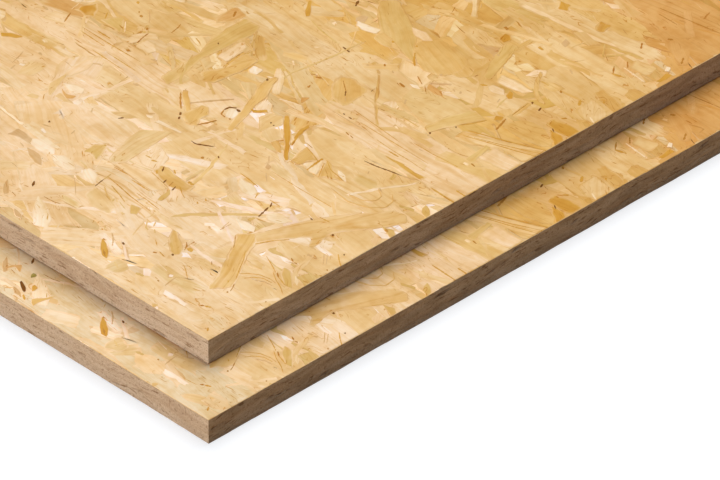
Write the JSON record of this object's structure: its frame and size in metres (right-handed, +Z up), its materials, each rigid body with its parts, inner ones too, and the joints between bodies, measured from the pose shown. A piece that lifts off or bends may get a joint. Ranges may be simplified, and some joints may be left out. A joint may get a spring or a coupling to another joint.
{
  "type": "stack of osb panels",
  "caption": "Flat stack of square-edged oriented strand board panels for sheathing and decking, the upper panel set back from a corner of the lower one.",
  "frame": {"origin": "middle of the stack's footprint, at the level of the floor it lies on", "axes": "+X along the panels' length and face strands, +Y across them, +Z up through the stack"},
  "size_m": [2.48, 1.258, 0.036],
  "materials": {
    "osb": "pressed strand face, unsanded and unsealed, with sawn edges"
  },
  "bodies": {
    "root": {"lower_panel": "osb", "upper_panel": "osb"}
  },
  "joints": []
}
